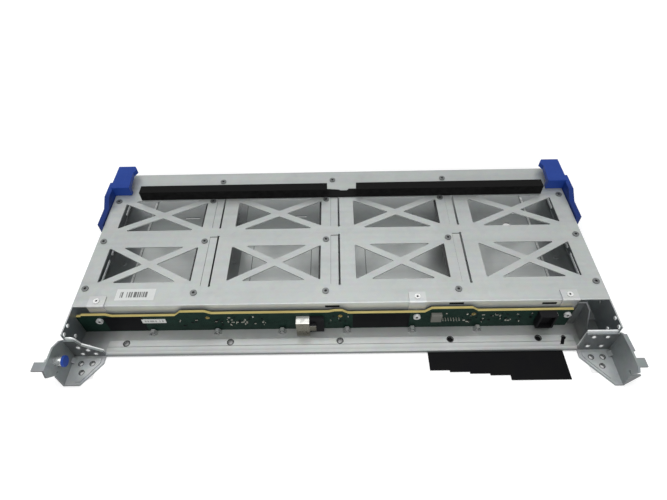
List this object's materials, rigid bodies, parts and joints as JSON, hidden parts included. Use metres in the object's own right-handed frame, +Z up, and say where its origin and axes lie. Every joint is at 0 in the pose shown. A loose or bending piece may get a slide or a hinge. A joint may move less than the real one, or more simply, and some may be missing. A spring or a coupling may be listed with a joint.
{
  "type": "hard drive cage",
  "caption": "Folded sheet-metal cage for hard drives side by side, with X-braced windows in its cover, a backplane board along the front, latch levers and screw brackets.",
  "frame": {"origin": "on the underside of the floor sheet, below the middle of the cover's front edge", "axes": "+X along the row of bays, +Y to the rear where the drives go in, +Z up through the cover"},
  "size_m": [0.4508, 0.2224, 0.0426],
  "materials": {
    "galvanised_sheet": "zinc-coated sheet, faintly brushed",
    "fastener_steel": "plain plated steel",
    "clip_sheet": "bright plated sheet",
    "board_laminate": "dark green solder mask, tan cut edge",
    "connector_plastic": "black moulded plastic",
    "connector_shell": "bright plated shell",
    "header_plastic": "pale grey moulded plastic",
    "contact_metal": "bright tinned contacts",
    "insulating_film": "black film",
    "sealing_foam": "black closed-cell foam",
    "blue_plastic": "blue moulded plastic",
    "bracket_sheet": "zinc-coated sheet",
    "plunger_metal": "nickel-plated turned metal",
    "spring_wire": "spring wire",
    "flap_plastic": "thin black plastic sheet"
  },
  "bodies": {
    "cage": {"top_cover": "galvanised_sheet", "floor_pan": "galvanised_sheet", "left_side_wall": "galvanised_sheet", "right_side_wall": "galvanised_sheet", "divider_1": "galvanised_sheet", "divider_2": "galvanised_sheet", "divider_3": "galvanised_sheet", "cover_rivets": "fastener_steel", "floor_rivets": "fastener_steel", "clip_rivets": "fastener_steel", "bracket_rivets": "fastener_steel", "board_clip_left": "clip_sheet", "board_clip_middle": "clip_sheet", "board_clip_right": "clip_sheet", "backplane_board": "board_laminate", "board_screws": "fastener_steel", "drive_connector_1": "connector_plastic", "drive_connector_2": "connector_plastic", "drive_connector_3": "connector_plastic", "drive_connector_4": "connector_plastic", "data_connector_shell": "connector_shell", "data_connector_housing": "connector_plastic", "header_connector": "header_plastic", "header_pins": "contact_metal", "power_connector": "connector_plastic", "power_pins": "contact_metal", "board_film_left": "insulating_film", "board_film_middle": "insulating_film", "foam_strip_left": "sealing_foam", "foam_strip_right": "sealing_foam", "foam_bridge": "sealing_foam", "lever_pivot_left": "fastener_steel", "lever_pivot_right": "fastener_steel", "corner_bracket_left": "bracket_sheet", "corner_bracket_right": "bracket_sheet", "plunger_bushing": "plunger_metal", "plunger_spring": "spring_wire", "air_flap": "flap_plastic"},
    "left_lever": {"latch_lever_left": "blue_plastic"},
    "right_lever": {"latch_lever_right": "blue_plastic"},
    "plunger": {"plunger_pin": "plunger_metal", "plunger_knob": "blue_plastic"}
  },
  "joints": [
    {"name": "left_lever_hinge", "type": "hinge", "parent": "cage", "child": "left_lever", "pos_m": [-0.21935, 0.097, 0.018], "axis": [1, 0, 0], "range_deg": [0, 60]},
    {"name": "right_lever_hinge", "type": "hinge", "parent": "cage", "child": "right_lever", "pos_m": [0.21935, 0.097, 0.018], "axis": [1, 0, 0], "range_deg": [0, 60]},
    {"name": "plunger_slide", "type": "slide", "parent": "cage", "child": "plunger", "axis": [1, 0, 0], "range_m": [0, 0.0035], "stiffness_N_per_m": 500, "deforming": ["plunger_spring"]}
  ]
}
